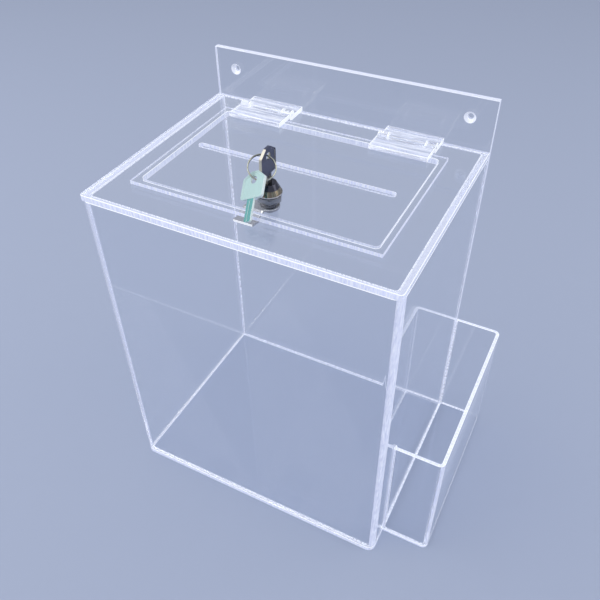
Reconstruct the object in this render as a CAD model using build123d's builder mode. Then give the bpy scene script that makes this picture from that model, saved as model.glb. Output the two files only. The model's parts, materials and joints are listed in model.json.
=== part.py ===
from build123d import *

import os
from math import atan2, cos, radians, sin, sqrt, tan

# Clear acrylic ballot box with a hinged, locked lid and a side pocket for papers.
# Millimetres. The origin is the centre of the box's footprint, on the underside
# of the base. +Z is up, +Y is towards the back panel, +X is towards the pocket.

# Box, of thick sheet
box_width = 250.0
box_depth = 195.0
box_height = 310.0
sheet = 5.0
bend_radius = 7.0
flange_rise = 42.0

# Wall screw holes in the back panel, above the top
wall_hole_inset = 20.0
wall_hole_rise = 25.0
wall_hole_radius = 2.3
wall_countersink_radius = 4.7
wall_countersink_angle = 90.0

# Opening in the top panel
opening_side_margin = 30.0
opening_shift = -1.0
opening_setback = 36.5
opening_rear_margin = 36.0
opening_radius = 3.5
top_corner_radius = 3.0

# Lid, of thin sheet, with the ballot slot
lid_sheet = 3.0
lid_side_lap = 5.0
lid_front_lap = 8.0
lid_rear_lap = 3.5
lid_seat_gap = 0.1
slot_end_margin = 16.5
slot_width = 5.0
slot_setback = 97.0
slot_shift = -1.0

# Side pocket, of thin sheet
pocket_projection = 42.0
pocket_setback = 25.0
pocket_height = 127.0
pocket_sheet = 3.0
pocket_bend_radius = 5.0

# Hinges, moulded in clear plastic
hinge_inset = 12.5
hinge_length = 48.0
hinge_axis_setback = 20.0
knuckle_radius = 4.3
knuckle_lift = 0.3
knuckle_gap = 0.3
end_knuckle_length = 8.0
leaf_thickness = 4.0
leaf_rear_gap = 0.3
leaf_notch_gap = 0.5
leaf_edge_round = 0.8
lid_leaf_front_reach = 22.0
hinge_pin_radius = 1.25
hinge_pin_clearance = 0.05
hinge_pin_inset = 0.6
hinge_pin_split = 0.4

# Lock housing: domed head over a threaded barrel with two flats
lock_setback = 60.0
lock_head_radius = 9.75
lock_head_edge = 0.9
lock_head_shoulder_radius = 6.7
lock_head_shoulder_height = 6.6
lock_head_top_radius = 5.7
lock_head_height = 8.4
barrel_radius = 7.0
barrel_half_flat = 6.2
barrel_length = 11.5
barrel_hole_clearance = 0.15

# Lock nut and washer, under the lid
nut_across_flats = 17.0
nut_thickness = 3.6
nut_edge_chamfer = 0.5
nut_thread_clearance = 0.05
washer_radius = 9.0
washer_thickness = 0.8

# Plug, the turning core
plug_radius = 4.5
plug_clearance = 0.05
plug_head_radius = 5.0
plug_head_thickness = 1.0
plug_face_inset = 0.3
keyway_width = 2.2
keyway_height = 6.4
keyway_depth = 11.5
tail_width = 6.0
tail_fit = 0.05
tail_short = 0.15

# Wafers and their springs, in slots across the plug
wafer_count = 4
wafer_first_depth = 1.6
wafer_pitch = 1.6
wafer_thickness = 0.8
wafer_width = 5.2
wafer_radius = 4.4
wafer_slot_gap = 0.1
wafer_window_width = 2.4
wafer_window_height = 6.4
wafer_ear_reach = 3.7
wafer_ear_height = 0.7
wafer_spring_radius = 0.38
wafer_spring_bore = 0.2
wafer_spring_length = 2.0
wafer_spring_gap = 0.05

# Quarter-turn stop: a tab on the stop washer runs in a recess in the barrel's end
turn_back_angle = 48.0
turn_lock_angle = 42.0
stop_tab_place_angle = 90.0
stop_tab_half_angle = 9.0
stop_slack_angle = 1.0
stop_tab_inner = 5.6
stop_tab_outer = 6.8
stop_tab_height = 1.2
stop_recess_gap = 0.2
stop_washer_radius = 7.6
stop_washer_thickness = 0.8
stop_washer_gap = 0.05

# Cam: an arm, cranked downwards, that turns under the front rim of the opening
cam_thickness = 2.0
cam_boss_radius = 7.6
cam_hook_left = 19.3
cam_hook_right = 2.7
cam_lean = 4.4
cam_corner_radius = 0.8
cam_swing_gap = 0.5
cam_crank_drop = 6.5
cam_crank_start = 8.5
cam_crank_end = 14.0

# Cam screw and its washer
cam_washer_radius = 4.6
cam_washer_thickness = 0.8
cam_screw_radius = 2.0
cam_screw_clearance = 0.05
cam_screw_reach = 6.5
cam_screw_bore_depth = 8.0
cam_screw_head_radius = 3.9
cam_screw_head_height = 2.4
cam_screw_head_round = 0.9
cross_slot_length = 4.2
cross_slot_width = 0.9
cross_slot_depth = 1.3

# Keys, both of one pattern, measured from the hole in the bow
key_hole_radius = 2.8
bow_half_width = 10.0
bow_peak = 6.5
bow_peak_half_width = 3.0
bow_shoulder = 1.6
bow_foot = 14.0
bow_peak_radius = 2.5
bow_shoulder_radius = 2.0
bow_foot_radius = 2.2
bow_thickness = 2.2
bow_rim_width = 1.3
bow_field_depth = 0.35
blade_half_width = 3.0
blade_thickness = 1.8
blade_root = 12.0
blade_tip = 31.0
blade_tip_slope = 1.0
blade_groove_width = 1.3
blade_groove_depth = 0.35
blade_groove_start = 15.5
key_cut_depth = 0.7
key_cut_width = 1.2
key_cut_shares = (0.45, 1.0, 0.3, 0.75)

# Place of the standing key: its hole above the lid
standing_hole_rise = 29.0

# Key ring, and how it hangs from the standing key's hole
ring_radius = 9.75
ring_wire_radius = 0.75
ring_gap_angle = 5.0
ring_gap_place_angle = 60.0
ring_heading_angle = -93.2
ring_dip_angle = 27.8
ring_roll_angle = -22.2
ring_seat_drop = 0.88
ring_seat_back = 1.33

# How the spare key leans from the ring, with its tip on the lid
spare_heading_angle = -72.9
spare_dip_angle = 32.75
spare_roll_angle = -33.4
spare_seat_drop = 0.67
spare_seat_side = -0.5

# One overrun for cuts that pass right through
cut_overrun = 1.0

# Places that follow from the sizes above
front_y = -box_depth / 2
rear_y = box_depth / 2
back_face_y = rear_y - sheet
side_x = box_width / 2
pocket_x = side_x + pocket_projection
pocket_front_y = front_y + pocket_setback
rim_y = front_y + opening_setback
opening_width = box_width - 2 * opening_side_margin
opening_depth = box_depth - opening_setback - opening_rear_margin
lid_width = opening_width + 2 * lid_side_lap
lid_depth = opening_depth + lid_front_lap + lid_rear_lap
lid_setback = opening_setback - lid_front_lap
slot_length = lid_width - 2 * slot_end_margin
hinge_spacing = lid_width - hinge_length - 2 * hinge_inset
wall_hole_spacing = box_width - 2 * wall_hole_inset
lid_bottom_z = box_height + lid_seat_gap
lid_top_z = lid_bottom_z + lid_sheet
hinge_y = back_face_y - hinge_axis_setback
hinge_z = box_height + knuckle_lift + knuckle_radius
lock_y = front_y + lock_setback
lock_plane = Plane(origin=(0, lock_y, lid_top_z))
lock_section = Plane(origin=(0, lock_y, lid_top_z), x_dir=(1, 0, 0), z_dir=(0, -1, 0))
lock_axis = Axis((0, lock_y, lid_top_z), (0, 0, 1))
plug_face = lock_head_height - plug_face_inset
key_cut_first = standing_hole_rise - plug_face + wafer_first_depth
stop_washer_top = -barrel_length - stop_washer_gap
cam_top = stop_washer_top - stop_washer_thickness
cam_bottom = cam_top - cam_thickness
cam_washer_bottom = cam_bottom - cam_washer_thickness

os.makedirs("parts", exist_ok=True)


def write(piece, name):
    """Label a finished piece and write it as a STEP file."""
    piece.label = name
    export_step(piece, f"parts/{name}.step")


# Box panels


def panel_outline(corner_radius):
    """Outline of the base and top sheets: two rounded corners at the front."""
    with BuildSketch() as outline:
        with BuildLine():
            FilletPolyline(
                (-side_x, back_face_y),
                (-side_x, front_y),
                (side_x, front_y),
                (side_x, back_face_y),
                radius=corner_radius,
            )
            Line((side_x, back_face_y), (-side_x, back_face_y))
        make_face()
    return outline.sketch


with BuildPart() as wall_wrap:
    with BuildSketch(Plane.XY.offset(sheet)):
        with BuildLine():
            FilletPolyline(
                (-side_x, back_face_y),
                (-side_x, front_y),
                (side_x, front_y),
                (side_x, back_face_y),
                radius=bend_radius,
            )
            offset(amount=sheet, side=Side.LEFT)
        make_face()
    extrude(amount=box_height - 2 * sheet)
write(wall_wrap.part, "wall_wrap")

with BuildPart() as base_panel:
    with BuildSketch(Plane.XY):
        add(panel_outline(bend_radius))
    extrude(amount=sheet)
write(base_panel.part, "base_panel")

with BuildPart() as top_panel:
    with BuildSketch(Plane.XY.offset(box_height - sheet)):
        add(panel_outline(top_corner_radius))
        with Locations((opening_shift, rim_y + opening_depth / 2)):
            RectangleRounded(opening_width, opening_depth, opening_radius, mode=Mode.SUBTRACT)
    extrude(amount=sheet)
write(top_panel.part, "top_panel")

back_front_face = Plane(
    origin=(0, back_face_y, box_height + wall_hole_rise), x_dir=(1, 0, 0), z_dir=(0, -1, 0)
)
with BuildPart() as back_panel:
    with BuildSketch(Plane.XZ.offset(-rear_y)):
        with Locations((0, (box_height + flange_rise) / 2)):
            Rectangle(box_width, box_height + flange_rise)
    extrude(amount=sheet)
    with Locations(back_front_face):
        with Locations((-wall_hole_spacing / 2, 0), (wall_hole_spacing / 2, 0)):
            CounterSinkHole(
                wall_hole_radius,
                wall_countersink_radius,
                depth=sheet + cut_overrun,
                counter_sink_angle=wall_countersink_angle,
            )
write(back_panel.part, "back_panel")

# Side pocket

with BuildPart() as pocket_wrap:
    with BuildSketch(Plane.XY.offset(pocket_sheet)):
        with BuildLine():
            FilletPolyline(
                (side_x, pocket_front_y),
                (pocket_x, pocket_front_y),
                (pocket_x, rear_y),
                (side_x, rear_y),
                radius=pocket_bend_radius,
            )
            offset(amount=pocket_sheet, side=Side.LEFT)
        make_face()
    extrude(amount=pocket_height - pocket_sheet)
write(pocket_wrap.part, "pocket_wrap")

with BuildPart() as pocket_base:
    with BuildSketch(Plane.XY):
        with BuildLine():
            FilletPolyline(
                (side_x, pocket_front_y),
                (pocket_x, pocket_front_y),
                (pocket_x, rear_y),
                (side_x, rear_y),
                radius=pocket_bend_radius,
            )
            Line((side_x, rear_y), (side_x, pocket_front_y))
        make_face()
    extrude(amount=pocket_sheet)
write(pocket_base.part, "pocket_base")

# Lid

with BuildPart() as lid_panel:
    with BuildSketch(Plane.XY.offset(lid_bottom_z)):
        with Locations((0, front_y + lid_setback + lid_depth / 2)):
            Rectangle(lid_width, lid_depth)
        with Locations((slot_shift, front_y + slot_setback)):
            SlotOverall(slot_length, slot_width, mode=Mode.SUBTRACT)
    extrude(amount=lid_sheet)
    with BuildSketch(lock_plane):
        Circle(barrel_radius + barrel_hole_clearance)
        Rectangle(
            2 * (barrel_half_flat + barrel_hole_clearance),
            2 * (barrel_radius + barrel_hole_clearance),
            mode=Mode.INTERSECT,
        )
    extrude(amount=-lid_sheet, mode=Mode.SUBTRACT)
write(lid_panel.part, "lid_panel")

# Hinges: the top leaf carries the two end knuckles, the lid leaf the middle one


notch_reach = knuckle_radius + leaf_notch_gap


def top_leaf(x_centre):
    """Leaf on the top panel, from the hinge axis to the back panel."""
    left = x_centre - hinge_length / 2
    right = x_centre + hinge_length / 2
    leaf_end_y = back_face_y - leaf_rear_gap
    with BuildPart() as leaf:
        with BuildSketch(Plane.XY.offset(box_height)):
            with Locations((x_centre, (hinge_y + leaf_end_y) / 2)):
                Rectangle(hinge_length, leaf_end_y - hinge_y)
        extrude(amount=leaf_thickness)
        with BuildSketch(Plane.YZ.offset(left + end_knuckle_length)):
            with Locations((hinge_y, hinge_z)):
                Rectangle(2 * notch_reach, 2 * notch_reach)
        extrude(amount=hinge_length - 2 * end_knuckle_length, mode=Mode.SUBTRACT)
        for knuckle_start in (left, right - end_knuckle_length):
            with BuildSketch(Plane.YZ.offset(knuckle_start)):
                with Locations((hinge_y, hinge_z)):
                    Circle(knuckle_radius)
            extrude(amount=end_knuckle_length)
        with BuildSketch(Plane.YZ.offset(left - cut_overrun)):
            with Locations((hinge_y, hinge_z)):
                Circle(hinge_pin_radius + hinge_pin_clearance)
        extrude(amount=hinge_length + 2 * cut_overrun, mode=Mode.SUBTRACT)
    return leaf.part


def lid_leaf(x_centre):
    """Leaf on the lid, from the hinge axis forwards."""
    left = x_centre - hinge_length / 2
    right = x_centre + hinge_length / 2
    middle_start = left + end_knuckle_length + knuckle_gap
    end_notch = end_knuckle_length + knuckle_gap + cut_overrun
    with BuildPart() as leaf:
        with BuildSketch(Plane.XY.offset(lid_top_z)):
            with Locations((x_centre, hinge_y - lid_leaf_front_reach / 2)):
                Rectangle(hinge_length, lid_leaf_front_reach)
        extrude(amount=leaf_thickness)
        front_edge = leaf.edges().filter_by(Axis.X).group_by(Axis.Z)[-1].sort_by(Axis.Y)[0]
        fillet(front_edge, radius=leaf_edge_round)
        for notch_start in (left - cut_overrun, right + cut_overrun - end_notch):
            with BuildSketch(Plane.YZ.offset(notch_start)):
                with Locations((hinge_y, hinge_z)):
                    Rectangle(2 * notch_reach, 2 * notch_reach)
            extrude(amount=end_notch, mode=Mode.SUBTRACT)
        with BuildSketch(Plane.YZ.offset(middle_start)):
            with Locations((hinge_y, hinge_z)):
                Circle(knuckle_radius)
        extrude(amount=hinge_length - 2 * (end_knuckle_length + knuckle_gap))
        with BuildSketch(Plane.YZ.offset(left - cut_overrun)):
            with Locations((hinge_y, hinge_z)):
                Circle(hinge_pin_radius + hinge_pin_clearance)
        extrude(amount=hinge_length + 2 * cut_overrun, mode=Mode.SUBTRACT)
    return leaf.part


def hinge_pins(x_centre):
    """Two clear pins that meet in the middle of the hinge."""
    reach = hinge_length / 2 - hinge_pin_inset
    with BuildPart() as pins:
        for pin_start in (x_centre - reach, x_centre + hinge_pin_split / 2):
            with BuildSketch(Plane.YZ.offset(pin_start)):
                with Locations((hinge_y, hinge_z)):
                    Circle(hinge_pin_radius)
            extrude(amount=reach - hinge_pin_split / 2)
    return pins.part


for side_name, hinge_x in (("left", -hinge_spacing / 2), ("right", hinge_spacing / 2)):
    write(top_leaf(hinge_x), f"hinge_{side_name}_top_leaf")
    write(lid_leaf(hinge_x), f"hinge_{side_name}_lid_leaf")
    write(hinge_pins(hinge_x), f"hinge_{side_name}_pins")

# Lock housing, nut and washer


def ring_sector(inner, outer, middle_angle, half_angle):
    """Part of a flat ring, about the sketch's origin."""
    start = middle_angle - half_angle
    sweep_angle = 2 * half_angle
    with BuildSketch() as sector:
        with BuildLine():
            outer_arc = CenterArc((0, 0), outer, start, sweep_angle)
            inner_arc = CenterArc((0, 0), inner, start, sweep_angle)
            Line(outer_arc @ 0, inner_arc @ 0)
            Line(outer_arc @ 1, inner_arc @ 1)
        make_face()
    return sector.sketch


housing_bore = plug_radius + plug_clearance
housing_counterbore = plug_head_radius + plug_clearance
counterbore_floor = plug_face - plug_head_thickness - plug_clearance
with BuildPart() as lock_housing:
    with BuildSketch(lock_section):
        with BuildLine():
            Polyline(
                (housing_bore, -barrel_length),
                (barrel_radius, -barrel_length),
                (barrel_radius, 0),
                (lock_head_radius, 0),
                (lock_head_radius, lock_head_edge),
                (lock_head_shoulder_radius, lock_head_shoulder_height),
                (lock_head_top_radius, lock_head_height),
                (housing_counterbore, lock_head_height),
                (housing_counterbore, counterbore_floor),
                (housing_bore, counterbore_floor),
                close=True,
            )
        make_face()
    revolve(axis=lock_axis)
    with BuildSketch(lock_plane):
        Circle(barrel_radius + cut_overrun)
        Rectangle(2 * barrel_half_flat, 2 * (barrel_radius + cut_overrun), mode=Mode.SUBTRACT)
    extrude(amount=-barrel_length, mode=Mode.SUBTRACT)
    recess_middle = stop_tab_place_angle + (turn_lock_angle - turn_back_angle) / 2
    recess_half = (turn_lock_angle + turn_back_angle) / 2 + stop_tab_half_angle + stop_slack_angle
    recess_inner = stop_tab_inner - stop_recess_gap
    recess_outer = barrel_radius + cut_overrun
    with BuildSketch(lock_plane.offset(-barrel_length)):
        add(ring_sector(recess_inner, recess_outer, recess_middle, recess_half))
    extrude(amount=stop_tab_height + stop_recess_gap, mode=Mode.SUBTRACT)
write(lock_housing.part, "lock_housing")

washer_top = lid_bottom_z - lid_top_z
with BuildPart() as lock_washer:
    with BuildSketch(lock_plane.offset(washer_top)):
        Circle(washer_radius)
        Circle(barrel_radius + barrel_hole_clearance, mode=Mode.SUBTRACT)
    extrude(amount=-washer_thickness)
write(lock_washer.part, "lock_washer")

with BuildPart() as lock_nut:
    with BuildSketch(lock_plane.offset(washer_top - washer_thickness)):
        RegularPolygon(nut_across_flats / 2, 6, major_radius=False)
        Circle(barrel_radius + nut_thread_clearance, mode=Mode.SUBTRACT)
    extrude(amount=-nut_thickness)
    nut_rim = lock_nut.faces().sort_by(Axis.Z)[0].outer_wire().edges()
    chamfer(nut_rim, length=nut_edge_chamfer)
write(lock_nut.part, "lock_nut")

# Plug, wafers and springs

wafer_depths = [wafer_first_depth + wafer_pitch * index for index in range(wafer_count)]
ear_top = wafer_ear_height / 2
spring_middle_x = (wafer_width / 2 + wafer_ear_reach) / 2
spring_start = ear_top + wafer_spring_gap
core_length = plug_face - plug_head_thickness - stop_washer_top
tail_end = cam_bottom + tail_short
with BuildPart() as lock_plug:
    with BuildSketch(lock_plane.offset(stop_washer_top)):
        Circle(plug_radius)
    extrude(amount=core_length)
    with BuildSketch(lock_plane.offset(plug_face)):
        Circle(plug_head_radius)
    extrude(amount=-plug_head_thickness)
    with BuildSketch(lock_plane.offset(stop_washer_top)):
        Rectangle(tail_width, tail_width)
    extrude(amount=tail_end - stop_washer_top)
    with BuildSketch(lock_plane.offset(tail_end)):
        Circle(cam_screw_radius + cam_screw_clearance)
    extrude(amount=cam_screw_bore_depth, mode=Mode.SUBTRACT)
    with BuildSketch(lock_plane.offset(plug_face)):
        Rectangle(keyway_width, keyway_height)
    extrude(amount=-keyway_depth, mode=Mode.SUBTRACT)
    for depth in wafer_depths:
        slot_thickness = wafer_thickness + 2 * wafer_slot_gap
        with BuildSketch(lock_plane.offset(plug_face - depth - slot_thickness / 2)):
            Rectangle(wafer_width + 2 * wafer_slot_gap, 2 * (plug_radius + cut_overrun))
            pocket_reach = wafer_ear_reach + wafer_slot_gap
            pocket_end = spring_start + wafer_spring_length + wafer_slot_gap
            with Locations((pocket_reach / 2, (ear_top + wafer_slot_gap - pocket_end) / 2)):
                Rectangle(pocket_reach, ear_top + wafer_slot_gap + pocket_end)
        extrude(amount=slot_thickness, mode=Mode.SUBTRACT)
write(lock_plug.part, "lock_plug")

with BuildPart() as lock_wafers:
    for depth in wafer_depths:
        with BuildSketch(lock_plane.offset(plug_face - depth - wafer_thickness / 2)):
            Circle(wafer_radius)
            Rectangle(wafer_width, 2 * wafer_radius, mode=Mode.INTERSECT)
            with Locations((wafer_ear_reach / 2, 0)):
                Rectangle(wafer_ear_reach, wafer_ear_height)
            Rectangle(wafer_window_width, wafer_window_height, mode=Mode.SUBTRACT)
        extrude(amount=wafer_thickness)
write(lock_wafers.part, "lock_wafers")

with BuildPart() as lock_wafer_springs:
    for depth in wafer_depths:
        spring_plane = Plane(
            origin=(spring_middle_x, lock_y - spring_start, lid_top_z + plug_face - depth),
            x_dir=(1, 0, 0),
            z_dir=(0, -1, 0),
        )
        with BuildSketch(spring_plane):
            Circle(wafer_spring_radius)
            Circle(wafer_spring_bore, mode=Mode.SUBTRACT)
        extrude(amount=wafer_spring_length)
write(lock_wafer_springs.part, "lock_wafer_springs")

# Stop washer, cam, cam washer and cam screw

with BuildPart() as stop_washer:
    with BuildSketch(lock_plane.offset(cam_top)):
        Circle(stop_washer_radius)
        Rectangle(tail_width + 2 * tail_fit, tail_width + 2 * tail_fit, mode=Mode.SUBTRACT)
    extrude(amount=stop_washer_thickness)
    with BuildSketch(lock_plane.offset(stop_washer_top)):
        add(ring_sector(stop_tab_inner, stop_tab_outer, stop_tab_place_angle, stop_tab_half_angle))
    extrude(amount=stop_tab_height)
write(stop_washer.part, "stop_washer")

# The cam's lower front edge swings forwards as the lid lifts, so its reach is
# worked out from the distance between the hinge axis and the opening's rim.
swing_radius = hinge_y - rim_y - cam_swing_gap
arm_bottom = cam_bottom - cam_crank_drop
swing_drop = hinge_z - (lid_top_z + arm_bottom)
cam_reach = lock_y - (hinge_y - sqrt(swing_radius**2 - swing_drop**2))
crank_reach = cam_reach + cut_overrun
crank_angle = atan2(cam_crank_drop, cam_crank_end - cam_crank_start)
crank_shift = cam_thickness * tan(crank_angle / 2)
side_plane = Plane(origin=(0, lock_y, lid_top_z + cam_bottom), x_dir=(0, 1, 0), z_dir=(1, 0, 0))
with BuildPart() as lock_cam:
    with BuildSketch(lock_plane.offset(arm_bottom)):
        Circle(cam_boss_radius)
        with BuildLine():
            Polyline(
                (-cam_hook_left, -cam_reach),
                (-cam_hook_right, -cam_reach),
                (-cam_hook_right + cam_lean, 0),
                (-cam_hook_right, cam_boss_radius / 2),
                (-cam_hook_left + cam_lean, 0),
                close=True,
            )
        make_face()
        Rectangle(tail_width + 2 * tail_fit, tail_width + 2 * tail_fit, mode=Mode.SUBTRACT)
    extrude(amount=cam_thickness + cam_crank_drop)
    with BuildSketch(side_plane):
        with BuildLine():
            Polyline(
                (cam_boss_radius + cut_overrun, 0),
                (-cam_crank_start, 0),
                (-cam_crank_end, -cam_crank_drop),
                (-crank_reach, -cam_crank_drop),
                (-crank_reach, cam_thickness - cam_crank_drop),
                (-cam_crank_end - crank_shift, cam_thickness - cam_crank_drop),
                (-cam_crank_start - crank_shift, cam_thickness),
                (cam_boss_radius + cut_overrun, cam_thickness),
                close=True,
            )
        make_face()
    extrude(amount=cam_hook_left + cut_overrun, both=True, mode=Mode.INTERSECT)
    hook_corners = lock_cam.edges().filter_by(Axis.Z).group_by(Axis.Y)[0]
    fillet(hook_corners, radius=cam_corner_radius)
write(lock_cam.part, "lock_cam")

with BuildPart() as cam_washer:
    with BuildSketch(lock_plane.offset(cam_washer_bottom)):
        Circle(cam_washer_radius)
        Circle(cam_screw_radius + 2 * cam_screw_clearance, mode=Mode.SUBTRACT)
    extrude(amount=cam_washer_thickness)
write(cam_washer.part, "cam_washer")

with BuildPart() as cam_screw:
    with BuildSketch(lock_plane.offset(cam_washer_bottom)):
        Circle(cam_screw_radius)
    extrude(amount=cam_screw_reach + cam_washer_thickness)
    with BuildSketch(lock_plane.offset(cam_washer_bottom)):
        Circle(cam_screw_head_radius)
    extrude(amount=-cam_screw_head_height)
    fillet(cam_screw.faces().sort_by(Axis.Z)[0].edges(), radius=cam_screw_head_round)
    with BuildSketch(lock_plane.offset(cam_washer_bottom - cam_screw_head_height)):
        Rectangle(cross_slot_length, cross_slot_width)
        Rectangle(cross_slot_width, cross_slot_length)
    extrude(amount=cross_slot_depth, mode=Mode.SUBTRACT)
write(cam_screw.part, "cam_screw")

# Keys


def bow_outline():
    """House-shaped bow, about the key's hole, with its foot down."""
    corner_radii = [
        bow_shoulder_radius,
        bow_peak_radius,
        bow_peak_radius,
        bow_shoulder_radius,
        bow_foot_radius,
        bow_foot_radius,
    ]
    with BuildSketch() as outline:
        with BuildLine():
            FilletPolyline(
                (-bow_half_width, bow_shoulder),
                (-bow_peak_half_width, bow_peak),
                (bow_peak_half_width, bow_peak),
                (bow_half_width, bow_shoulder),
                (bow_half_width, -bow_foot),
                (-bow_half_width, -bow_foot),
                radius=corner_radii,
                close=True,
            )
        make_face()
    return outline.sketch


def make_key(hole_plane):
    """A key, with the centre of its hole at the plane's origin and its bow up the plane's y."""
    with BuildPart() as key:
        with BuildSketch(hole_plane.offset(-bow_thickness / 2)):
            add(bow_outline())
        extrude(amount=bow_thickness)
        for face_side in (-1, 1):
            with BuildSketch(hole_plane.offset(face_side * bow_thickness / 2)):
                add(bow_outline())
                offset(amount=-bow_rim_width, mode=Mode.REPLACE)
            extrude(amount=-face_side * bow_field_depth, mode=Mode.SUBTRACT)
        with BuildSketch(hole_plane.offset(-blade_thickness / 2)):
            with BuildLine():
                Polyline(
                    (-blade_half_width, -blade_root),
                    (-blade_half_width, blade_tip_slope - blade_tip),
                    (blade_tip_slope - blade_half_width, -blade_tip),
                    (blade_half_width - blade_tip_slope, -blade_tip),
                    (blade_half_width, blade_tip_slope - blade_tip),
                    (blade_half_width, -blade_root),
                    close=True,
                )
            make_face()
            for index, cut_share in enumerate(key_cut_shares):
                cut_place = key_cut_first + index * wafer_pitch
                cut_depth = key_cut_depth * cut_share
                for edge_side in (-1, 1):
                    with BuildLine():
                        Polyline(
                            (edge_side * blade_half_width, -cut_place - key_cut_width / 2),
                            (edge_side * (blade_half_width - cut_depth), -cut_place),
                            (edge_side * blade_half_width, -cut_place + key_cut_width / 2),
                            close=True,
                        )
                    make_face(mode=Mode.SUBTRACT)
        extrude(amount=blade_thickness)
        groove_length = blade_tip - blade_groove_start
        with BuildSketch(hole_plane.offset(blade_thickness / 2)):
            with Locations((0, -(blade_groove_start + blade_tip) / 2)):
                Rectangle(blade_groove_width, groove_length)
        extrude(amount=-blade_groove_depth, mode=Mode.SUBTRACT)
        with BuildSketch(hole_plane.offset(-bow_thickness / 2)):
            Circle(key_hole_radius)
        extrude(amount=bow_thickness, mode=Mode.SUBTRACT)
    return key.part


def direction(heading, dip):
    """Unit vector from a heading about +Z and a dip below the level, in degrees."""
    level = cos(radians(dip))
    return Vector(level * cos(radians(heading)), level * sin(radians(heading)), -sin(radians(dip)))


standing_hole = Vector(0, lock_y, lid_top_z + standing_hole_rise)
standing_plane = Plane(origin=standing_hole, x_dir=(0, 1, 0), z_dir=(1, 0, 0))
write(make_key(standing_plane), "lock_key")

# The ring hangs from the standing key's hole and carries the spare key opposite.
ring_fall = direction(ring_heading_angle, ring_dip_angle)
ring_level = ring_fall.cross(Vector(0, 0, 1)).normalized()
ring_steep = ring_fall.cross(ring_level)
ring_side = ring_level * cos(radians(ring_roll_angle)) + ring_steep * sin(radians(ring_roll_angle))
ring_top = standing_hole + Vector(0, ring_seat_back, -ring_seat_drop)
ring_centre = ring_top + ring_fall * ring_radius
ring_foot = ring_centre + ring_fall * ring_radius
ring_normal = ring_fall.cross(ring_side)
gap_turn = radians(ring_gap_place_angle)
wire_out = ring_fall * cos(gap_turn) + ring_side * sin(gap_turn)
wire_along = ring_side * cos(gap_turn) - ring_fall * sin(gap_turn)
wire_plane = Plane(origin=ring_centre + wire_out * ring_radius, x_dir=wire_out, z_dir=wire_along)
with BuildPart() as key_ring:
    with BuildSketch(wire_plane):
        Circle(ring_wire_radius)
    revolve(axis=Axis(ring_centre, ring_normal), revolution_arc=360.0 - ring_gap_angle)
write(key_ring.part, "key_ring")

# The spare key points along its own heading and dip, rolled about its length.
spare_point = direction(spare_heading_angle, spare_dip_angle)
spare_level = spare_point.cross(Vector(0, 0, -1)).normalized()
spare_steep = spare_level.cross(spare_point)
spare_across = spare_level * cos(radians(spare_roll_angle)) + spare_steep * sin(radians(spare_roll_angle))
spare_hole = ring_foot + spare_point * spare_seat_drop + spare_across * spare_seat_side
spare_plane = Plane(origin=spare_hole, x_dir=spare_across, z_dir=spare_point.cross(spare_across))
write(make_key(spare_plane), "spare_key")
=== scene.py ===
import json
from math import cos, pi, radians, sin

import bmesh
import bpy
from mathutils import Matrix, Vector


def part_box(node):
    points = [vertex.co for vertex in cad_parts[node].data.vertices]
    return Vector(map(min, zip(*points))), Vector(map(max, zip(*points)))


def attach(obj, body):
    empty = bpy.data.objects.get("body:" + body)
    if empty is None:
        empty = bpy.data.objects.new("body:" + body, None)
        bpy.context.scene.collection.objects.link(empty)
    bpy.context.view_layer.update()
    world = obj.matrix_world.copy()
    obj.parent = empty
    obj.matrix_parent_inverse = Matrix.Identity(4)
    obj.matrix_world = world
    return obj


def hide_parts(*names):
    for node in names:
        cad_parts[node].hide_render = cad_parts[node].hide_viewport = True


# Clear acrylic ballot box with a hinged, locked lid and a side pocket for papers.
# Metres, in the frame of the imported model: +Z up, +Y towards the back panel.

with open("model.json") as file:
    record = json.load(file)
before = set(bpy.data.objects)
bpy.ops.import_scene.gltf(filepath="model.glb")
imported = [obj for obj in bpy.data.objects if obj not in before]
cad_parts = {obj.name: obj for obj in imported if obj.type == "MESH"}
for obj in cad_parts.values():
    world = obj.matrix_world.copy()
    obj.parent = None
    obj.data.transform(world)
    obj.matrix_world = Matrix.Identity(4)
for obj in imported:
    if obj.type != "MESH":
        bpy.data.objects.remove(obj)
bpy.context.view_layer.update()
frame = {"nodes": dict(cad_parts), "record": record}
nodes = frame["nodes"]


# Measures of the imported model

top_of_base = 0.005
top_of_walls = 0.305
top_of_box = 0.310
top_of_lid = 0.3131
front_of_back_panel = 0.0925
inner_side = 0.120
outer_side = 0.125
pocket_base_top = 0.003
pocket_inner_front = -0.0695
pocket_inner_rear = 0.0945
pocket_inner_side = 0.164
lock_middle = Vector((0.0, -0.0375, top_of_lid))
standing_hole = Vector((0.0, -0.0375, 0.3421))
standing_point = Vector((0.0, 0.0, -1.0))
standing_plane = Vector((1.0, 0.0, 0.0))
spare_hole = Vector((-0.00124, -0.05391, 0.33153))
spare_point = Vector((0.2473, -0.8039, -0.5410))
spare_plane = Vector((-0.3934, -0.5935, 0.7021))
key_bow_foot = 0.014


# Shader maths


class Wire:
    """One socket of a finish, for sums written as Python."""

    def __init__(self, finish, socket):
        self.finish = finish
        self.socket = socket

    def maths(self, operation, first, second=None):
        sockets = {0: first} if second is None else {0: first, 1: second}
        return self.finish.add("ShaderNodeMath", {"operation": operation}, sockets)

    def __sub__(self, other):
        return self.maths("SUBTRACT", self, other)

    def __rsub__(self, other):
        return self.maths("SUBTRACT", other, self)

    def __mul__(self, other):
        return self.maths("MULTIPLY", self, other)

    def __gt__(self, other):
        return self.maths("GREATER_THAN", self, other)

    def __lt__(self, other):
        return self.maths("LESS_THAN", self, other)

    def __abs__(self):
        return self.maths("ABSOLUTE", self)

    __rmul__ = __mul__


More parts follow.
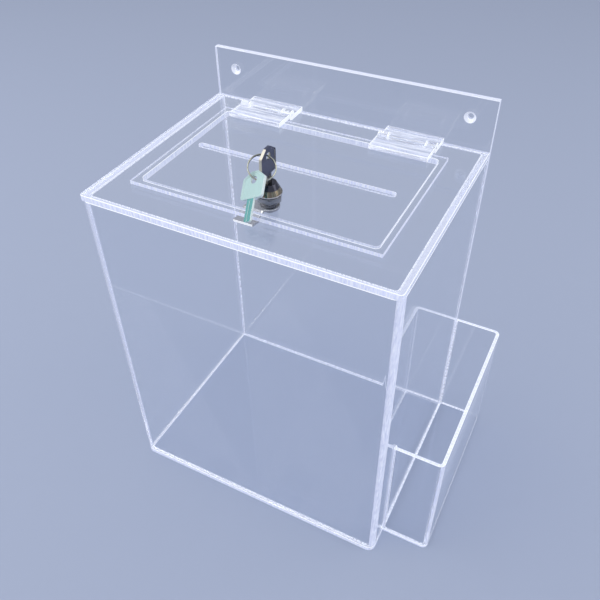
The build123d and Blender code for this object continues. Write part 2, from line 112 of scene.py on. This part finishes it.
class Finish:
    """A material that is built node by node."""

    def __init__(self, name):
        self.material = bpy.data.materials.new(name)
        self.material.use_nodes = True
        self.tree = self.material.node_tree
        self.tree.nodes.clear()

    def add(self, kind, settings=None, sockets=None, output=0):
        node = self.tree.nodes.new(kind)
        for name, value in (settings or {}).items():
            if name == "stops":
                ramp = node.color_ramp.elements
                while len(ramp) < len(value):
                    ramp.new(1.0)
                for stop, (place, colour) in zip(ramp, value):
                    stop.position = place
                    stop.color = (*colour, 1.0)
            else:
                setattr(node, name, value)
        for name, value in (sockets or {}).items():
            socket = node.inputs[name]
            if isinstance(value, Wire):
                self.tree.links.new(value.socket, socket)
            else:
                socket.default_value = value
        return Wire(self, node.outputs[output]) if node.outputs else None

    def place(self):
        """Place on the piece, in the row frame."""
        return self.add("ShaderNodeTexCoord", output="Object")

    def normal(self):
        """The surface's own normal, in the row frame at rest."""
        return self.add("ShaderNodeTexCoord", output="Normal")

    def parts(self, vector):
        return [
            self.add("ShaderNodeSeparateXYZ", sockets={0: vector}, output=axis)
            for axis in range(3)
        ]

    def facing(self):
        return self.parts(self.normal())

    def vectors(self, operation, first, second, output=0):
        return self.add(
            "ShaderNodeVectorMath", {"operation": operation}, {0: first, 1: second}, output
        )

    def dot(self, first, second):
        return self.vectors("DOT_PRODUCT", first, second, "Value")

    def either(self, first, second):
        return self.add("ShaderNodeMath", {"operation": "MAXIMUM"}, {0: first, 1: second})

    def noise(self, scale, detail=3.0, roughness=0.6, stretch=(1, 1, 1)):
        spread = self.add("ShaderNodeMapping", {}, {"Vector": self.place(), "Scale": stretch})
        return self.add(
            "ShaderNodeTexNoise",
            {},
            {"Vector": spread, "Scale": scale, "Detail": detail, "Roughness": roughness},
        )

    def spread(self, value, low, high, to_low, to_high):
        limits = {"From Min": low, "From Max": high, "To Min": to_low, "To Max": to_high}
        return self.add("ShaderNodeMapRange", {"clamp": True}, {"Value": value, **limits})

    def blend(self, factor, first, second):
        return self.add(
            "ShaderNodeMix",
            {"data_type": "RGBA"},
            {0: factor, 6: self.colour(first), 7: self.colour(second)},
            output=2,
        )

    def bump(self, height, strength, distance):
        return self.add(
            "ShaderNodeBump", {}, {"Height": height, "Strength": strength, "Distance": distance}
        )

    def colour(self, value):
        return (*value, 1.0) if isinstance(value, tuple) else value

    def surface(self, colour, **sockets):
        names = {name.replace("_", " "): value for name, value in sockets.items()}
        return self.add(
            "ShaderNodeBsdfPrincipled", {}, {"Base Color": self.colour(colour), **names}
        )

    def mix(self, factor, first, second):
        return self.add("ShaderNodeMixShader", {}, {0: factor, 1: first, 2: second})

    def let_light_through(self, shader):
        """The shader, open to rays from lamps and to light on its way to other surfaces."""
        open_way = self.add("ShaderNodeBsdfTransparent", {}, {"Color": self.colour(sheet_tint)})
        for ray in ("Is Diffuse Ray", "Is Shadow Ray"):
            shader = self.mix(self.add("ShaderNodeLightPath", output=ray), shader, open_way)
        return shader

    def done(self, shader):
        self.add("ShaderNodeOutputMaterial", {}, {"Surface": shader})
        return self.material


# Clear sheets, and the painted glow on their edges

sheet_tint = (0.95, 0.96, 0.98)
sheet_clear = (0.985, 0.99, 1.0)
acrylic_index = 1.49
# Painted light: edges get lavender-white tones and an emission glow for light gathered in the
# sheet; arrises get a painted white highlight; hinge tones run dark to white
sawn_edge_painted_tones = ((0.68, 0.72, 0.92), (0.88, 0.90, 0.99))
moulded_painted_tones = ((0.42, 0.46, 0.64), (0.96, 0.97, 1.0))
painted_arris_highlight = (0.97, 0.98, 1.0)
painted_edge_glow = 0.3
edge_coat = 0.4
# Rays that a sheet has turned back inside more often than this see the painted edge glow, which
# stands in for light coming out at its edges
most_inner_reflections = 3.5
# Shares of a normal along an axis: flat faces lie above the first, arrises start at the second
flat_face = 0.985
arris_start = 0.12
glued_walls = 0.0918
glued_pocket = 0.1257


def acrylic(name, edges, haze=0.0, glow=painted_edge_glow, tones=sawn_edge_painted_tones, along=(1.0, 1.0, 0.15)):
    """Clear cast sheet, with a painted glow on its sawn edges and a painted highlight on its
    arrises.
    """
    finish = Finish(name)
    edge, arris = edges(finish)
    handling = finish.noise(38.0, 4.0)
    wipes = finish.noise(9.0, 2.0, 0.5, (1.0, 1.0, 0.25))
    saw = finish.noise(700.0, 2.0, stretch=along)
    clear = finish.surface(
        sheet_clear,
        Roughness=finish.spread(handling * wipes, 0.2, 0.5, haze, 0.02 + haze),
        IOR=acrylic_index,
        Transmission_Weight=1.0,
    )
    band = finish.blend(finish.spread(saw, 0.3, 0.7, 0.0, 1.0), *tones)
    shade = finish.blend(arris, band, painted_arris_highlight)
    # Painted glow: the edge shader emits its own tone
    bright = finish.surface(
        shade,
        Roughness=0.25,
        IOR=acrylic_index,
        Coat_Weight=edge_coat,
        Coat_Roughness=0.08,
        Emission_Color=shade,
        Emission_Strength=glow,
        Normal=finish.bump(saw, 0.15, 0.0004),
    )
    cover = finish.spread(saw, 0.25, 0.75, 0.8, 1.0)
    # Rays that have reflected inside a sheet many times see the painted glow as well
    glow_after_inner_reflections = finish.add("ShaderNodeLightPath", output="Glossy Depth") > most_inner_reflections
    painted_glow_share = finish.either(finish.either(edge * cover, arris), glow_after_inner_reflections)
    return finish.done(finish.let_light_through(finish.mix(painted_glow_share, clear, bright)))


def level_edges(finish):
    """Upright faces of a sheet that lies level, which get the painted edge glow, with less of
    it in a line along the top's sides.
    """
    line_side, line_low, line_high, line_share = 0.1245, 0.3066, 0.3084, 0.8
    lie = abs(finish.facing()[2])
    edge = lie < flat_face
    x, _, z = finish.parts(finish.place())
    clear_line = (abs(x) > line_side) * (z > line_low) * (z < line_high)
    return edge * (1.0 - clear_line * line_share), edge * (lie > arris_start)


def upright_edges(axis, glued_above=None, glued_below=None, end_share=1.0, bend_start=0.5):
    """Level faces of a wrap that stands up, its glued ends and part of its bends, which get the
    painted edge glow.
    """
    level_start, bend_depth, bend_share = 0.17, 0.03, 0.8

    def edges(finish):
        x, y, z = (abs(value) for value in finish.facing())
        level = z > level_start
        bend = (x > bend_start) * (y > bend_depth) * bend_share
        place = finish.parts(finish.place())[axis]
        glued = (place > glued_above) if glued_above else (place < glued_below)
        ends = finish.either(level, glued) * end_share
        return finish.either(ends, bend), level * (z < flat_face)

    return edges


def back_edges(finish):
    """Edges of the back panel with the painted edge glow, dimmer along its top and almost none
    on the walls of its screw holes.
    """
    hole_left, hole_right, hole_low, hole_high = 0.100, 0.110, 0.330, 0.340
    bore_lie, bore_share, hole_share = 0.2, 0.95, 0.5
    top_edge, top_share = 0.3512, 0.35
    lie = abs(finish.facing()[1])
    edge = lie < flat_face
    x, _, z = finish.parts(finish.place())
    hole = (abs(x) < hole_right) * (abs(x) > hole_left) * (z > hole_low) * (z < hole_high)
    bore = hole * (lie < bore_lie)
    dim_top = 1.0 - (z > top_edge) * top_share
    arris = edge * (lie > arris_start) * (1.0 - hole * hole_share)
    return edge * (1.0 - bore * bore_share) * dim_top, arris


def hinge_edges(finish):
    """Painted glow on the cut ends of a hinge, painted white there, and on the lid leaf's front
    edge, with painted streaks of light and shade along the moulding.
    """
    end_start, front_edge, front_face, face_share = 0.3, 0.0513, 0.97, 0.55
    along, ahead, _ = (abs(value) for value in finish.facing())
    end = along > end_start
    face = (ahead > front_face) * face_share
    front = (finish.parts(finish.place())[1] < front_edge) * (1.0 - face)
    # Painted streaks of light and shade along the moulding
    flow = finish.noise(420.0, stretch=(0.04, 1.0, 1.0))
    painted_streak = finish.spread(flow, 0.44, 0.60, 0.0, 0.55)
    return finish.either(finish.either(end, front), painted_streak), end


thick_level = acrylic("clear_sheet_level", level_edges)
box_upright = acrylic(
    "clear_sheet_upright", upright_edges(1, glued_above=glued_walls, end_share=0.5)
)
pocket_upright = acrylic(
    "clear_sheet_pocket", upright_edges(0, glued_below=glued_pocket, bend_start=0.7)
)
thick_back = acrylic("clear_sheet_back", back_edges, haze=0.01)
hinge_clear = acrylic(
    "clear_hinge",
    hinge_edges,
    haze=0.01,
    glow=0.4,
    tones=moulded_painted_tones,
    along=(0.05, 1.0, 1.0),
)


# Metals

plating_scale = 260.0
handling_wear = 0.25


def plated(finish, shade, roughness, scale=plating_scale, metallic=1.0, **glint):
    """The last coats of a plated metal: fine grain and handling wear; a painted glint given by
    the caller is passed on.
    """
    fine = finish.noise(scale * 6)
    dull, bright = roughness * (1 - handling_wear), roughness * (1 + handling_wear)
    return finish.done(
        finish.surface(
            shade,
            Metallic=metallic,
            Roughness=finish.spread(fine, 0.3, 0.7, dull, bright),
            Normal=finish.bump(fine, 0.08, 0.0001),
            **glint,
        )
    )


def metal(name, light, dark, roughness, scale=plating_scale):
    """Plated metal with broad patches of light and dark."""
    finish = Finish(name)
    broad = finish.noise(scale, roughness=0.5)
    return plated(finish, finish.blend(broad, light, dark), roughness, scale)


def chrome_with_painted_reflections(name):
    """Chrome of the lock's head, with painted reflections: upright streaks round its cone and a
    dark top; it is darker below the lid's top face.
    """
    cone_top, rim_top, rim_foot = 0.0045, 0.0010, -0.0001
    finish = Finish(name)
    x, y, z = finish.parts(finish.place())
    from_middle = finish.add("ShaderNodeCombineXYZ", {}, {"X": x, "Y": y - lock_middle.y})
    outwards = finish.add(
        "ShaderNodeVectorMath", {"operation": "NORMALIZE"}, {0: from_middle}
    )
    streaks = finish.add(
        "ShaderNodeTexNoise",
        {},
        {"Vector": outwards, "Scale": 11.0, "Detail": 4.0, "Roughness": 0.75},
    )
    # Painted reflections: the colours of the streaks round the cone
    cone = finish.add(
        "ShaderNodeValToRGB",
        {
            "stops": [
                (0.30, (0.03, 0.025, 0.03)),
                (0.40, (0.34, 0.31, 0.20)),
                (0.46, (0.20, 0.07, 0.06)),
                (0.50, (0.05, 0.05, 0.06)),
                (0.56, (0.50, 0.50, 0.36)),
                (0.62, (0.12, 0.13, 0.14)),
                (0.68, (0.28, 0.46, 0.44)),
                (0.76, (0.80, 0.80, 0.72)),
            ]
        },
        {"Fac": streaks},
    )
    rise = z - lock_middle.z
    # The dark top is a painted reflection; below the lid's top face the head is darker
    shade = finish.blend(rise > cone_top, cone, (0.07, 0.07, 0.09))
    shade = finish.blend(rise < rim_top, shade, (0.62, 0.60, 0.60))
    shade = finish.blend(rise < rim_foot, shade, (0.16, 0.16, 0.17))
    return plated(finish, shade, 0.16)


def patched(finish, scale, face, darker):
    """A plain face with patches that are darker by a share."""
    patches = finish.noise(scale, 4.0)
    return finish.blend(patches, face, tuple(darker * part for part in face))


def pressed_plate(name, face, edge):
    """Pressed metal arm, with a painted glint that glows on its front edge and on one side of
    its crank.
    """
    arm_start, glint_left, front_start = -0.055, -0.0015, -0.8
    crank_low, crank_high, crank_ahead = 0.3, 0.95, -0.2
    finish = Finish(name)
    x, y, _ = finish.parts(finish.place())
    _, ahead, up = finish.facing()
    front_edge = (ahead < front_start) * (y < arm_start)
    crank = (up > crank_low) * (up < crank_high) * (ahead < crank_ahead) * (x > glint_left)
    # Painted highlight: the front edge and the crank's side get the light edge colour and a
    # glow
    painted_glint = finish.either(front_edge, crank)
    return plated(
        finish,
        finish.blend(painted_glint, patched(finish, 300.0, face, 0.7), edge),
        0.3,
        metallic=0.6,
        Emission_Color=finish.blend(painted_glint, (0.0, 0.0, 0.0), edge),
        Emission_Strength=0.5,
    )


def key_metal(name, hole, point, plane, face, rim, blade, painted_highlight_side=None):
    """Nickel-plated key with painted reflections: its bow's field, a painted highlight on the
    rim and cut edges, and a darker blade in painted shade.
    """
    flat_start, side_start = 0.97, 0.3
    finish = Finish(name)
    along = finish.dot(finish.vectors("SUBTRACT", finish.place(), hole), point)
    normal = finish.normal()
    shade = patched(finish, 420.0, face, 0.8)
    shade = finish.blend(along > key_bow_foot, shade, blade)
    # Painted highlight: rim faces, on the standing key only those towards the front, take the
    # rim colour
    painted_highlight_mask = abs(finish.dot(normal, plane)) < flat_start
    if painted_highlight_side:
        painted_highlight_mask = painted_highlight_mask * (finish.dot(normal, painted_highlight_side) > side_start)
    return plated(finish, finish.blend(painted_highlight_mask, shade, rim), 0.34, metallic=0.55)


lock_chrome = chrome_with_painted_reflections("lock_chrome")
# The split ring's cream and dark patches are painted reflections and highlights
chrome = metal("chrome_plate_painted_reflections", (0.78, 0.77, 0.66), (0.26, 0.28, 0.22), 0.14, 140.0)
# The cam's near-white edge colour is its painted glint
cam_nickel = pressed_plate("cam_nickel", (0.52, 0.52, 0.55), (0.98, 0.97, 0.93))
zinc = metal("zinc_plate", (0.40, 0.41, 0.43), (0.27, 0.28, 0.30), 0.32)
brass = metal("wafer_brass", (0.72, 0.58, 0.30), (0.55, 0.43, 0.20), 0.3)
dark_thread = metal("barrel_thread_metal", (0.20, 0.20, 0.21), (0.10, 0.10, 0.11), 0.25)
# The two keys are the same nickel: face, rim and blade colours are painted reflections,
# highlight and shade
standing_nickel = key_metal(
    "standing_key_nickel_painted_reflections",
    standing_hole,
    standing_point,
    standing_plane,
    face=(0.10, 0.11, 0.17),
    rim=(0.66, 0.62, 0.52),
    blade=(0.07, 0.07, 0.08),
    painted_highlight_side=Vector((0.0, -1.0, 0.0)),
)
spare_nickel = key_metal(
    "spare_key_nickel_painted_reflections",
    spare_hole,
    spare_point,
    spare_plane,
    face=(0.46, 0.64, 0.62),
    rim=(0.88, 0.98, 0.94),
    blade=(0.12, 0.35, 0.34),
)


# Pieces that stand for CAD nodes, with rounded edges

merge_distance = 1e-6
glue_gap = 0.00005
level_turn = radians(0.5)
arris_turn = radians(35)
bodies_of_nodes = {
    node: body
    for body, members in frame["record"]["behaviour"]["bodies"].items()
    for node in members
}


def placed(name, data):
    """A new object in the scene, with this mesh, lamp or camera."""
    piece = bpy.data.objects.new(name, data)
    bpy.context.scene.collection.objects.link(piece)
    return piece


def finished(piece):
    """Turn a piece and its modifiers into a plain mesh."""
    bpy.context.view_layer.update()
    result = bpy.data.meshes.new_from_object(
        piece.evaluated_get(bpy.context.evaluated_depsgraph_get())
    )
    piece.modifiers.clear()
    piece.data = result
    return piece


def edged(node, name, material, arris, clear=()):
    """A node's own shape with its sharp edges rounded, held clear of what it is glued to."""
    mesh = nodes[node].data.copy()
    work = bmesh.new()
    work.from_mesh(mesh)
    bmesh.ops.remove_doubles(work, verts=work.verts, dist=merge_distance)
    bmesh.ops.dissolve_limit(work, angle_limit=level_turn, verts=work.verts, edges=work.edges)
    for axis, place, move in clear:
        for vert in work.verts:
            if abs(vert.co[axis] - place) < glue_gap:
                vert.co[axis] += move
    for face in work.faces:
        face.smooth = True
    work.to_mesh(mesh)
    work.free()
    mesh.materials.clear()
    mesh.materials.append(material)
    piece = placed(name, mesh)
    bevel = piece.modifiers.new("arris", "BEVEL")
    bevel.width = arris
    bevel.segments = 2
    bevel.limit_method = "ANGLE"
    bevel.angle_limit = arris_turn
    piece.modifiers.new("even_normals", "WEIGHTED_NORMAL")
    piece = finished(piece)
    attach(piece, bodies_of_nodes[node])
    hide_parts(node)


# Faces that are moved off their glued neighbours: axis, place and move
off_base = (2, top_of_base, glue_gap)
off_top = (2, top_of_walls, -glue_gap)
off_walls = (2, top_of_base, -glue_gap)
off_back = (1, front_of_back_panel, -glue_gap)
off_side = (0, outer_side, glue_gap)
off_pocket_base = (2, pocket_base_top, glue_gap)
off_pocket_wrap = (2, pocket_base_top, -glue_gap)
off_box_top = (2, top_of_box, glue_gap)
off_lid_top = (2, top_of_lid, glue_gap)

for node, name, material, arris, clear in (
    ("wall_wrap", "wall_wrap_sheet", box_upright, 0.0004, [off_base, off_top, off_back]),
    ("base_panel", "base_panel_sheet", thick_level, 0.0005, [off_walls, off_back]),
    ("top_panel", "top_panel_sheet", thick_level, 0.0005, [off_back]),
    ("back_panel", "back_panel_sheet", thick_back, 0.0005, []),
    ("lid_panel", "lid_panel_sheet", thick_level, 0.0004, []),
    ("pocket_wrap", "pocket_wrap_sheet", pocket_upright, 0.0004, [off_pocket_base, off_side]),
    ("pocket_base", "pocket_base_sheet", thick_level, 0.0004, [off_pocket_wrap, off_side]),
):
    edged(node, name, material, arris, clear)
for side in ("left", "right"):
    for part, made, arris, clear in (
        ("top_leaf", "top_leaf_moulding", 0.0003, [off_box_top]),
        ("lid_leaf", "lid_leaf_moulding", 0.0003, [off_lid_top]),
        ("pins", "pin_pair", 0.0002, []),
    ):
        edged(f"hinge_{side}_{part}", f"hinge_{side}_{made}", hinge_clear, arris, clear)
for node, name, material, arris in (
    ("lock_housing", "lock_housing_turned", lock_chrome, 0.00015),
    ("lock_nut", "lock_nut_pressed", zinc, 0.00012),
    ("lock_washer", "lock_washer_pressed", zinc, 0.0001),
    ("lock_plug", "lock_plug_cast", lock_chrome, 0.0001),
    ("stop_washer", "stop_washer_pressed", zinc, 0.0001),
    ("lock_cam", "lock_cam_pressed", cam_nickel, 0.00025),
    ("cam_washer", "cam_washer_pressed", zinc, 0.0001),
    ("cam_screw", "cam_screw_head", zinc, 0.0001),
    ("lock_key", "standing_key", standing_nickel, 0.00015),
    ("spare_key", "spare_key_pressed", spare_nickel, 0.00015),
):
    edged(node, name, material, arris)
nodes["lock_wafers"].data.materials.clear()
nodes["lock_wafers"].data.materials.append(brass)


# Pieces made along a rule


class Tree:
    """A Geometry Nodes tree with named inputs."""

    def __init__(self, name, **inputs):
        self.group = bpy.data.node_groups.new(name, "GeometryNodeTree")
        self.keys = {}
        for label, kind in {**inputs, "Material": "Material"}.items():
            socket = self.group.interface.new_socket(
                label, in_out="INPUT", socket_type=f"NodeSocket{kind}"
            )
            self.keys[label] = socket.identifier
        self.group.interface.new_socket(
            "Geometry", in_out="OUTPUT", socket_type="NodeSocketGeometry"
        )
        self.given = self.group.nodes.new("NodeGroupInput").outputs

    def add(self, kind, settings=None, sockets=None, output=0):
        node = self.group.nodes.new(kind)
        for name, value in (settings or {}).items():
            setattr(node, name, value)
        for name, value in (sockets or {}).items():
            socket = node.inputs[name]
            if isinstance(value, bpy.types.NodeSocket):
                self.group.links.new(value, socket)
            else:
                socket.default_value = value
        return node.outputs[output]

    def swept(self, path, wire, sides):
        """A round wire of this radius along a path, with closed ends."""
        profile = self.add(
            "GeometryNodeCurvePrimitiveCircle", {}, {"Resolution": sides, "Radius": wire}
        )
        return self.add(
            "GeometryNodeCurveToMesh",
            {},
            {"Curve": path, "Profile Curve": profile, "Fill Caps": True},
        )

    def repeated(self, instance, count, step):
        """Copies of a shape in a row, each one step further."""
        row = self.add("GeometryNodeMeshLine", {}, {"Count": count, "Offset": step})
        return self.add(
            "GeometryNodeInstanceOnPoints", {}, {"Points": row, "Instance": instance}
        )

    def done(self, geometry):
        real = self.add("GeometryNodeRealizeInstances", {}, {"Geometry": geometry})
        painted = self.add(
            "GeometryNodeSetMaterial",
            {},
            {"Geometry": real, "Material": self.given["Material"]},
        )
        end = self.group.nodes.new("NodeGroupOutput")
        self.group.links.new(painted, end.inputs["Geometry"])

    def grow(self, name, **values):
        """A piece made by the tree from these values."""
        piece = placed(name, bpy.data.meshes.new(name))
        modifier = piece.modifiers.new("rule", "NODES")
        modifier.node_group = self.group
        for label, value in values.items():
            modifier[self.keys[label]] = value
        return finished(piece)


sharp_turn = radians(50)


def clean(piece, place=None):
    """Merge a grown mesh, point its faces outwards and put it in its place."""
    work = bmesh.new()
    work.from_mesh(piece.data)
    bmesh.ops.remove_doubles(work, verts=work.verts, dist=merge_distance)
    bmesh.ops.recalc_face_normals(work, faces=work.faces)
    for face in work.faces:
        face.smooth = True
    work.to_mesh(piece.data)
    work.free()
    if place:
        piece.data.transform(place)
    piece.data.set_sharp_from_angle(angle=sharp_turn)


# The barrel's thread, cut away at its two flats

thread = Tree(
    "barrel_thread",
    Radius="Float",
    Ridge="Float",
    Start="Float",
    Sweep="Float",
    Turns="Int",
    Pitch="Float",
    Lean="Float",
)
ridge_line = thread.add(
    "GeometryNodeCurveArc",
    {"mode": "RADIUS"},
    {
        "Resolution": 20,
        "Radius": thread.given["Radius"],
        "Start Angle": thread.given["Start"],
        "Sweep Angle": thread.given["Sweep"],
    },
)
leaning = thread.add(
    "GeometryNodeTransform",
    {},
    {
        "Geometry": thread.swept(ridge_line, thread.given["Ridge"], 6),
        "Rotation": thread.add("ShaderNodeCombineXYZ", {}, {"Y": thread.given["Lean"]}),
    },
)
down = thread.add(
    "ShaderNodeMath", {"operation": "MULTIPLY"}, {0: thread.given["Pitch"], 1: -1.0}
)
pitch_down = thread.add("ShaderNodeCombineXYZ", {}, {"Z": down})
thread.done(thread.repeated(leaning, thread.given["Turns"], pitch_down))

flat_edge_angle = radians(30.0)
thread_pitch = 0.001
thread_lean = 0.035
thread_start = 0.0079
for name, start, lean, low, count in (
    ("barrel_thread_front", pi, thread_lean, 0.0, 3),
    ("barrel_thread_back", 0.0, -thread_lean, thread_pitch / 2, 2),
):
    ridges = thread.grow(
        name,
        Radius=0.0068,
        Ridge=0.0003,
        Start=start + flat_edge_angle,
        Sweep=pi - 2 * flat_edge_angle,
        Turns=count,
        Pitch=thread_pitch,
        Lean=lean,
        Material=dark_thread,
    )
    clean(ridges, Matrix.Translation(lock_middle - Vector((0, 0, thread_start + low))))
    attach(ridges, "lid")

# The wafers' coil springs

coil = Tree(
    "wafer_spring_coil",
    Radius="Float",
    Wire="Float",
    Turns="Float",
    Length="Float",
    Count="Int",
    Spacing="Float",
)
turns = coil.add(
    "GeometryNodeCurveSpiral",
    {},
    {
        "Resolution": 14,
        "Rotations": coil.given["Turns"],
        "Start Radius": coil.given["Radius"],
        "End Radius": coil.given["Radius"],
        "Height": coil.given["Length"],
    },
)
row_step = coil.add("ShaderNodeCombineXYZ", {}, {"Y": coil.given["Spacing"]})
one_spring = coil.swept(turns, coil.given["Wire"], 6)
coil.done(coil.repeated(one_spring, coil.given["Count"], row_step))
spring_low, spring_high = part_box("lock_wafer_springs")
spring_reach = 0.00038
springs = coil.grow(
    "wafer_spring_coils",
    Radius=0.00029,
    Wire=0.00008,
    Turns=6.0,
    Length=spring_high.y - spring_low.y,
    Count=4,
    Spacing=-0.0016,
    Material=zinc,
)
spring_end = (
    (spring_low.x + spring_high.x) / 2,
    spring_high.y,
    spring_high.z - spring_reach,
)
clean(springs, Matrix.Translation(spring_end) @ Matrix.Rotation(radians(90), 4, "X"))
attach(springs, "plug")
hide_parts("lock_wafer_springs")

# Beads of cement in the inside corners of the glued sheets

cement = Finish("cement_bead")
grain = cement.noise(650.0)
# The cement's colour is also a painted glow, like the sheet edges
cement_tone_and_glow = cement.blend(grain, (0.74, 0.77, 0.93), (0.95, 0.96, 1.0))
cement_solid = cement.surface(
    cement_tone_and_glow,
    Roughness=0.3,
    Coat_Weight=edge_coat,
    Emission_Color=cement_tone_and_glow,
    Emission_Strength=painted_edge_glow,
)
cement_void = cement.add("ShaderNodeBsdfTransparent", {}, {"Color": (1.0, 1.0, 1.0, 1.0)})
cement_cover = cement.spread(grain, 0.40, 0.52, 0.2, 1.0)
cement_material = cement.done(
    cement.let_light_through(cement.mix(cement_cover, cement_void, cement_solid))
)
bead_sides = 8
bead = 0.0005
bead_reach = bead + glue_gap
bead_corner = 0.0025


def glued(piece, place):
    clean(piece, Matrix.Translation(place))
    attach(piece, "box")


bead_loop = Tree("cement_bead_loop", Width="Float", Depth="Float", Corner="Float", Bead="Float")
around = bead_loop.add(
    "GeometryNodeCurvePrimitiveQuadrilateral",
    {"mode": "RECTANGLE"},
    {"Width": bead_loop.given["Width"], "Height": bead_loop.given["Depth"]},
)
bent = bead_loop.add(
    "GeometryNodeFilletCurve",
    {"mode": "POLY"},
    {"Curve": around, "Radius": bead_loop.given["Corner"], "Count": 8},
)
bead_loop.done(bead_loop.swept(bent, bead_loop.given["Bead"], bead_sides))
box_low, box_high = (-inner_side, -front_of_back_panel), (inner_side, front_of_back_panel)
pocket_low = (outer_side, pocket_inner_front)
pocket_high = (pocket_inner_side, pocket_inner_rear)
for name, low, high, height in (
    ("base_cement_bead", box_low, box_high, top_of_base + bead_reach),
    ("top_cement_bead", box_low, box_high, top_of_walls - bead_reach),
    ("pocket_cement_bead", pocket_low, pocket_high, pocket_base_top + bead_reach),
):
    loop = bead_loop.grow(
        name,
        Width=high[0] - low[0] - 2 * bead_reach,
        Depth=high[1] - low[1] - 2 * bead_reach,
        Corner=bead_corner,
        Bead=bead,
        Material=cement_material,
    )
    glued(loop, ((low[0] + high[0]) / 2, (low[1] + high[1]) / 2, height))

bead_run = Tree("cement_bead_run", Length="Float", Bead="Float")
run_end = bead_run.add("ShaderNodeCombineXYZ", {}, {"Z": bead_run.given["Length"]})
run_line = bead_run.add("GeometryNodeCurvePrimitiveLine", {"mode": "POINTS"}, {"End": run_end})
bead_run.done(bead_run.swept(run_line, bead_run.given["Bead"], bead_sides))
box_bead_ends = (0.0062, 0.3038)
box_bead_x = inner_side - bead_reach
box_bead_y = front_of_back_panel - bead_reach
pocket_bead = 0.0008
pocket_bead_ends = (0.0042, 0.1265)
pocket_bead_reach = pocket_bead + glue_gap
pocket_bead_x = outer_side + pocket_bead_reach
pocket_bead_front = pocket_inner_front + pocket_bead_reach
pocket_bead_rear = pocket_inner_rear - pocket_bead_reach
for name, x, y, (low, high), size in (
    ("rear_left_cement_bead", -box_bead_x, box_bead_y, box_bead_ends, bead),
    ("rear_right_cement_bead", box_bead_x, box_bead_y, box_bead_ends, bead),
    (
        "pocket_front_cement_bead",
        pocket_bead_x,
        pocket_bead_front,
        pocket_bead_ends,
        pocket_bead,
    ),
    (
        "pocket_rear_cement_bead",
        pocket_bead_x,
        pocket_bead_rear,
        pocket_bead_ends,
        pocket_bead,
    ),
):
    run = bead_run.grow(name, Length=high - low, Bead=size, Material=cement_material)
    glued(run, (x, y, low))

# Split ring: two turns of wire side by side, with a short crossing between them

ring_centre = Vector((-0.00048, -0.04478, 0.33667))
ring_radius = 0.00975
ring_fall = Vector((-0.0494, -0.8832, -0.4664))
ring_side = Vector((-0.9343, -0.1243, 0.3342))
ring_normal = ring_fall.cross(ring_side)
ring_wire_radial = 0.00052
ring_wire_beside = 0.0004
ring_wire_sides = 12
ring_start_angle = radians(62.0)
ring_sweep = 4 * pi - radians(8.0)
ring_crossing = radians(40.0)
ring_steps = 180
ring_work = bmesh.new()
previous = first = None
for step in range(ring_steps + 1):
    turned = ring_sweep * step / ring_steps
    share = min(max((turned - (2 * pi - ring_crossing)) / ring_crossing, 0.0), 1.0)
    beside = ring_wire_beside * (2 * share * share * (3 - 2 * share) - 1)
    angle = ring_start_angle + turned
    out = ring_fall * cos(angle) + ring_side * sin(angle)
    middle = ring_centre + out * ring_radius + ring_normal * beside
    section = []
    for corner in range(ring_wire_sides):
        round_angle = 2 * pi * corner / ring_wire_sides
        section.append(
            ring_work.verts.new(
                middle
                + out * (ring_wire_radial * cos(round_angle))
                + ring_normal * (ring_wire_beside * sin(round_angle))
            )
        )
    if previous:
        for corner in range(ring_wire_sides):
            after = (corner + 1) % ring_wire_sides
            ring_work.faces.new(
                (previous[corner], previous[after], section[after], section[corner])
            )
    else:
        first = section
    previous = section
ring_work.faces.new(first)
ring_work.faces.new(previous)
ring_mesh = bpy.data.meshes.new("split_ring")
ring_work.to_mesh(ring_mesh)
ring_work.free()
ring_mesh.materials.append(chrome)
split_ring = placed("split_ring", ring_mesh)
clean(split_ring)
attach(split_ring, "ring")
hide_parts("key_ring")


# Floor, lights and camera

floor_half = 4.0
below = -0.0005
floor_mesh = bpy.data.meshes.new("floor")
floor_mesh.from_pydata(
    [
        (-floor_half, -floor_half, below),
        (floor_half, -floor_half, below),
        (floor_half, floor_half, below),
        (-floor_half, floor_half, below),
    ],
    [],
    [(0, 1, 2, 3)],
)
floor = placed("floor", floor_mesh)
floor_finish = Finish("pale_floor")
floor_mesh.materials.append(
    floor_finish.done(floor_finish.surface((0.40, 0.45, 0.58), Roughness=0.75))
)

box_middle = Vector((0, 0, 0.15))


def softbox(name, place, size, power):
    """A soft lamp that looks at the middle of the box."""
    lamp = bpy.data.lights.new(name, "AREA")
    lamp.shape = "RECTANGLE"
    lamp.size, lamp.size_y = size
    lamp.energy = power
    holder = placed(name, lamp)
    holder.location = place
    towards = box_middle - Vector(place)
    holder.rotation_euler = towards.to_track_quat("-Z", "Y").to_euler()


softbox("softbox_left", (-1.3, -0.6, 1.7), (2.0, 2.0), 20.0)
softbox("softbox_right", (1.4, 0.5, 1.5), (1.6, 2.0), 12.0)

world = bpy.data.worlds.new("studio")
bpy.context.scene.world = world
world.use_nodes = True
background = world.node_tree.nodes["Background"].inputs
background["Color"].default_value = (0.86, 0.90, 1.0, 1)
background["Strength"].default_value = 0.62

photo_pixels = 600
focal_pixels = 663.745
camera_place = (0.20772, -0.38652, 0.57203)
yaw, pitch, roll = radians(27.811), radians(41.840), radians(-0.887)
ahead = Vector((-sin(yaw) * cos(pitch), cos(yaw) * cos(pitch), -sin(pitch)))
level_right = Vector((cos(yaw), sin(yaw), 0))
level_up = level_right.cross(ahead)
right = level_right * cos(roll) + level_up * sin(roll)
up = level_up * cos(roll) - level_right * sin(roll)
lens = bpy.data.cameras.new("camera")
lens.sensor_fit = "HORIZONTAL"
lens.sensor_width = 36.0
lens.lens = focal_pixels / photo_pixels * lens.sensor_width
lens.clip_start = 0.01
camera = placed("camera", lens)
turn = Matrix((right, up, -ahead)).transposed()
camera.matrix_world = Matrix.Translation(camera_place) @ turn.to_4x4()
bpy.context.scene.camera = camera
bpy.context.scene.view_settings.view_transform = "Standard"
